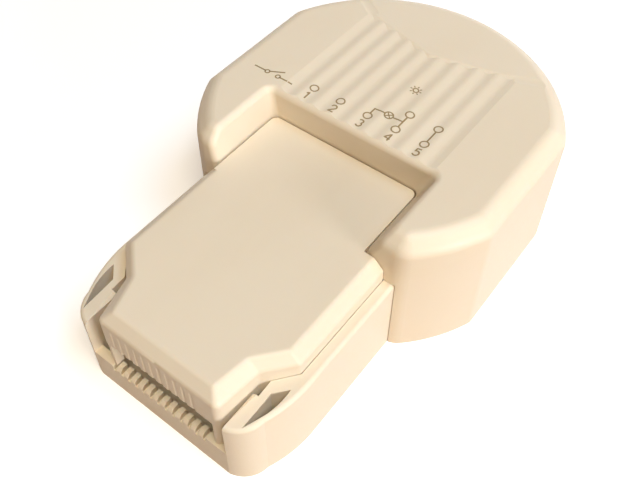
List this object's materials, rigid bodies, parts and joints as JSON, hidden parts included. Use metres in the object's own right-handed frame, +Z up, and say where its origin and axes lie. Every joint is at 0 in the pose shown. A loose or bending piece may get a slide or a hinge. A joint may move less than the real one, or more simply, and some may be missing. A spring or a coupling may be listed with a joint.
{
  "type": "dimmer switch module",
  "caption": "In-wall wiring-bus dimmer and switch module: a round ribbed head with two flats, a terminal tongue with a cable comb, and a lift-off terminal cover.",
  "frame": {"origin": "on the flat underside, at the centre of the head's front arcs, in the middle plane between the two flats", "axes": "+Z up, away from the underside; the terminal tongue and the cables point to -Y; +X towards the right flat seen from the tongue"},
  "size_m": [0.0502, 0.0778, 0.023],
  "materials": {
    "housing": "fine moulded, ivory",
    "steel": "zinc plated",
    "tinned": "tin plated",
    "brass": "plain",
    "copper": "enamelled wire",
    "board": "lacquered board",
    "terminal_plastic": "moulded, grey",
    "relay_plastic": "moulded, black",
    "bobbin_plastic": "moulded, dark",
    "film_plastic": "moulded, yellow",
    "can": "sleeved can",
    "ferrite": "fired, dark grey",
    "tape": "polyester tape",
    "varistor_coat": "dipped, blue",
    "chip_plastic": "moulded, black"
  },
  "bodies": {
    "housing": {"base_tray": "housing", "head_shell": "housing", "case_screws": "steel", "circuit_board": "board", "contact_strips": "tinned", "bus_terminal_body": "terminal_plastic", "mains_terminal_body": "terminal_plastic", "relay_base": "relay_plastic", "relay_case": "relay_plastic", "relay_pins": "tinned", "relay_yoke": "steel", "relay_core": "steel", "relay_bobbin": "bobbin_plastic", "relay_winding": "copper", "relay_fixed_contact": "brass", "film_capacitor": "film_plastic", "electrolytic_capacitor": "can", "transformer_core": "ferrite", "transformer_bobbin": "bobbin_plastic", "transformer_winding": "tape", "choke_spool": "ferrite", "choke_winding": "copper", "varistor": "varistor_coat", "fuse": "bobbin_plastic", "bridge_rectifier": "chip_plastic", "optocouplers": "chip_plastic", "control_chip": "chip_plastic"},
    "cover": {"terminal_cover": "housing"},
    "armature": {"relay_armature": "steel", "relay_moving_contact": "brass"},
    "screw_1": {"terminal_screw_1": "steel"},
    "clamp_1": {"wire_clamp_1": "tinned"},
    "screw_2": {"terminal_screw_2": "steel"},
    "clamp_2": {"wire_clamp_2": "tinned"},
    "screw_3": {"terminal_screw_3": "steel"},
    "clamp_3": {"wire_clamp_3": "tinned"},
    "screw_4": {"terminal_screw_4": "steel"},
    "clamp_4": {"wire_clamp_4": "tinned"},
    "screw_5": {"terminal_screw_5": "steel"},
    "clamp_5": {"wire_clamp_5": "tinned"}
  },
  "joints": [
    {"name": "cover_lift", "type": "slide", "parent": "housing", "child": "cover", "axis": [0, 0, 1], "range_m": [0, 0.03]},
    {"name": "armature_hinge", "type": "hinge", "parent": "housing", "child": "armature", "pos_m": [0.0125, -0.0022, 0.01592], "axis": [-1, 0, 0], "range_deg": [0, 4], "stiffness_Nm_per_rad": 0.001, "springref_deg": -20.05},
    {"name": "screw_turn_1", "type": "hinge", "parent": "housing", "child": "screw_1", "pos_m": [-0.01, -0.0156, 0.01412], "axis": [0, 0, -1], "range_deg": [0, 1600]},
    {"name": "clamp_rise_1", "type": "slide", "parent": "housing", "child": "clamp_1", "axis": [0, 0, 1], "range_m": [0, 0.002]},
    {"name": "screw_turn_2", "type": "hinge", "parent": "housing", "child": "screw_2", "pos_m": [-0.005, -0.0156, 0.01412], "axis": [0, 0, -1], "range_deg": [0, 1600]},
    {"name": "clamp_rise_2", "type": "slide", "parent": "housing", "child": "clamp_2", "axis": [0, 0, 1], "range_m": [0, 0.002]},
    {"name": "screw_turn_3", "type": "hinge", "parent": "housing", "child": "screw_3", "pos_m": [0, -0.0156, 0.01412], "axis": [0, 0, -1], "range_deg": [0, 1600]},
    {"name": "clamp_rise_3", "type": "slide", "parent": "housing", "child": "clamp_3", "axis": [0, 0, 1], "range_m": [0, 0.002]},
    {"name": "screw_turn_4", "type": "hinge", "parent": "housing", "child": "screw_4", "pos_m": [0.005, -0.0156, 0.01412], "axis": [0, 0, -1], "range_deg": [0, 1600]},
    {"name": "clamp_rise_4", "type": "slide", "parent": "housing", "child": "clamp_4", "axis": [0, 0, 1], "range_m": [0, 0.002]},
    {"name": "screw_turn_5", "type": "hinge", "parent": "housing", "child": "screw_5", "pos_m": [0.01, -0.0156, 0.01412], "axis": [0, 0, -1], "range_deg": [0, 1600]},
    {"name": "clamp_rise_5", "type": "slide", "parent": "housing", "child": "clamp_5", "axis": [0, 0, 1], "range_m": [0, 0.002]}
  ],
  "couplings": [
    {"joint": "screw_turn_1", "follows": "clamp_rise_1", "rad_per_m": 13960},
    {"joint": "screw_turn_2", "follows": "clamp_rise_2", "rad_per_m": 13960},
    {"joint": "screw_turn_3", "follows": "clamp_rise_3", "rad_per_m": 13960},
    {"joint": "screw_turn_4", "follows": "clamp_rise_4", "rad_per_m": 13960},
    {"joint": "screw_turn_5", "follows": "clamp_rise_5", "rad_per_m": 13960}
  ]
}
